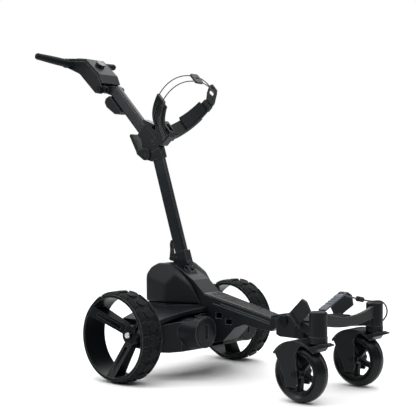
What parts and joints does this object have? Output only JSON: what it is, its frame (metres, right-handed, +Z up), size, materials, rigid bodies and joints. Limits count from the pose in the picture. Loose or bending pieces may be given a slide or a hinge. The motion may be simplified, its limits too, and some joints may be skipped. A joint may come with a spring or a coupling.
{
  "type": "electric golf trolley",
  "caption": "Folding battery-powered golf trolley: broad driven rear wheels, swivelling front casters, hinged mast with tilting handle console, and two bag cradles.",
  "frame": {"origin": "middle of the whole trolley on the ground, under the centre of its box", "axes": "+X forward, towards the front casters; +Y to the left; +Z up"},
  "size_m": [1.259, 0.658, 1.1149],
  "materials": {
    "rear_tyre_rubber": "matte",
    "front_tyre_rubber": "satin",
    "rim_plastic": "satin",
    "axle_steel": "satin",
    "gearbox_alloy": "matte",
    "motor_plastic": "satin",
    "bearing_steel": "satin",
    "pin_steel": "satin",
    "body_plastic": "matte",
    "cover_gloss": "gloss",
    "battery_plastic": "matte",
    "controller_plastic": "matte",
    "mast_paint": "satin",
    "joint_plastic": "satin",
    "lever_plastic": "satin",
    "cradle_plastic": "matte",
    "pad_rubber": "matte",
    "elastic_cord": "matte",
    "slider_plastic": "satin",
    "console_plastic": "matte",
    "console_gloss": "gloss",
    "control_plastic": "satin",
    "board_plastic": "satin",
    "grip_rubber": "matte",
    "yoke_plastic": "satin",
    "bush_plastic": "satin",
    "crossbar_gloss": "gloss",
    "strap_rubber": "satin",
    "fork_plastic": "satin"
  },
  "bodies": {
    "chassis": {"gearbox_left": "gearbox_alloy", "gearbox_right": "gearbox_alloy", "motor_left": "motor_plastic", "motor_right": "motor_plastic", "axle_bearings": "bearing_steel", "rear_arch": "body_plastic", "lower_cowl": "body_plastic", "main_beam": "body_plastic", "beam_cover": "cover_gloss", "controller_box": "controller_plastic", "hinge_pins": "pin_steel"},
    "rear_wheel_left": {"rear_tyre_left": "rear_tyre_rubber", "rear_rim_left": "rim_plastic", "rear_axle_left": "axle_steel"},
    "rear_wheel_right": {"rear_tyre_right": "rear_tyre_rubber", "rear_rim_right": "rim_plastic", "rear_axle_right": "axle_steel"},
    "battery": {"battery_case": "battery_plastic"},
    "lower_mast": {"lower_mast_tube": "mast_paint", "mast_foot": "joint_plastic", "mast_head": "joint_plastic", "fold_pin": "pin_steel"},
    "base_latch": {"base_latch": "lever_plastic"},
    "upper_mast": {"upper_mast_tube": "mast_paint", "mast_elbow": "joint_plastic", "handle_neck": "joint_plastic", "accessory_pod": "lever_plastic", "cradle_bracket": "cradle_plastic", "cradle_arm_left": "cradle_plastic", "cradle_arm_right": "cradle_plastic", "cradle_pads": "pad_rubber", "bungee_outer": "elastic_cord", "bungee_inner": "elastic_cord", "bungee_slider": "slider_plastic"},
    "fold_lever": {"fold_lever": "lever_plastic"},
    "handle": {"console_top": "console_gloss", "console_base": "console_plastic", "control_board": "board_plastic", "handlebar": "mast_paint", "grip_left": "grip_rubber", "grip_right": "grip_rubber", "tilt_bolt": "pin_steel"},
    "clamp_knob": {"clamp_knob": "lever_plastic"},
    "speed_dial": {"speed_dial": "control_plastic"},
    "power_button": {"power_button": "control_plastic"},
    "front_section": {"front_yoke": "yoke_plastic", "caster_bushes": "bush_plastic", "crossbar": "crossbar_gloss", "lower_cradle": "cradle_plastic", "bag_strap": "strap_rubber", "strap_toggle": "slider_plastic", "strap_cord": "elastic_cord"},
    "caster_left": {"caster_fork_left": "fork_plastic", "front_axle_left": "axle_steel"},
    "caster_right": {"caster_fork_right": "fork_plastic", "front_axle_right": "axle_steel"},
    "front_wheel_left": {"front_tyre_left": "front_tyre_rubber", "front_rim_left": "rim_plastic"},
    "front_wheel_right": {"front_tyre_right": "front_tyre_rubber", "front_rim_right": "rim_plastic"}
  },
  "joints": [
    {"name": "left_wheel_spin", "type": "hinge", "parent": "chassis", "child": "rear_wheel_left", "pos_m": [-0.0815, 0, 0.146], "axis": [0, 1, 0], "continuous": true},
    {"name": "right_wheel_spin", "type": "hinge", "parent": "chassis", "child": "rear_wheel_right", "pos_m": [-0.0815, 0, 0.146], "axis": [0, 1, 0], "continuous": true},
    {"name": "battery_release", "type": "slide", "parent": "chassis", "child": "battery", "axis": [-0.9401, 0, 0.341], "range_m": [0, 0.12]},
    {"name": "mast_fold", "type": "hinge", "parent": "chassis", "child": "lower_mast", "pos_m": [-0.0475, 0, 0.35], "axis": [0, 1, 0], "range_deg": [0, 85]},
    {"name": "base_latch_swing", "type": "hinge", "parent": "lower_mast", "child": "base_latch", "pos_m": [-0.1265, 0, 0.379], "axis": [0, 1, 0], "range_deg": [-25, 0]},
    {"name": "handle_fold", "type": "hinge", "parent": "lower_mast", "child": "upper_mast", "pos_m": [-0.2375, 0, 0.74], "axis": [0, 1, 0], "range_deg": [-80, 0]},
    {"name": "fold_lever_swing", "type": "hinge", "parent": "upper_mast", "child": "fold_lever", "pos_m": [-0.2375, 0, 0.74], "axis": [0, 1, 0], "range_deg": [-20, 0]},
    {"name": "handle_tilt", "type": "hinge", "parent": "upper_mast", "child": "handle", "pos_m": [-0.4465, 0, 0.985], "axis": [0, 1, 0], "range_deg": [-25, 15]},
    {"name": "clamp_knob_turn", "type": "hinge", "parent": "handle", "child": "clamp_knob", "pos_m": [-0.4465, 0, 0.985], "axis": [0, 1, 0], "continuous": true},
    {"name": "speed_dial_turn", "type": "hinge", "parent": "handle", "child": "speed_dial", "pos_m": [-0.4895, 0, 1.0756], "axis": [0.6432, 0, 0.7657], "range_deg": [-150, 150]},
    {"name": "power_button_press", "type": "slide", "parent": "handle", "child": "power_button", "axis": [-0.1042, 0, -0.9946], "range_m": [0, 0.0025], "stiffness_N_per_m": 400, "springref_m": -0.001},
    {"name": "front_fold", "type": "hinge", "parent": "chassis", "child": "front_section", "pos_m": [0.3735, 0, 0.21], "axis": [0, 1, 0], "range_deg": [0, 75]},
    {"name": "caster_swivel_left", "type": "hinge", "parent": "front_section", "child": "caster_left", "pos_m": [0.5785, 0.155, 0.2], "axis": [0, 0, 1], "continuous": true},
    {"name": "caster_swivel_right", "type": "hinge", "parent": "front_section", "child": "caster_right", "pos_m": [0.5785, -0.155, 0.2], "axis": [0, 0, 1], "continuous": true},
    {"name": "front_wheel_spin_left", "type": "hinge", "parent": "caster_left", "child": "front_wheel_left", "pos_m": [0.5205, 0.155, 0.086], "axis": [0, 1, 0], "continuous": true},
    {"name": "front_wheel_spin_right", "type": "hinge", "parent": "caster_right", "child": "front_wheel_right", "pos_m": [0.5205, -0.155, 0.086], "axis": [0, 1, 0], "continuous": true}
  ]
}
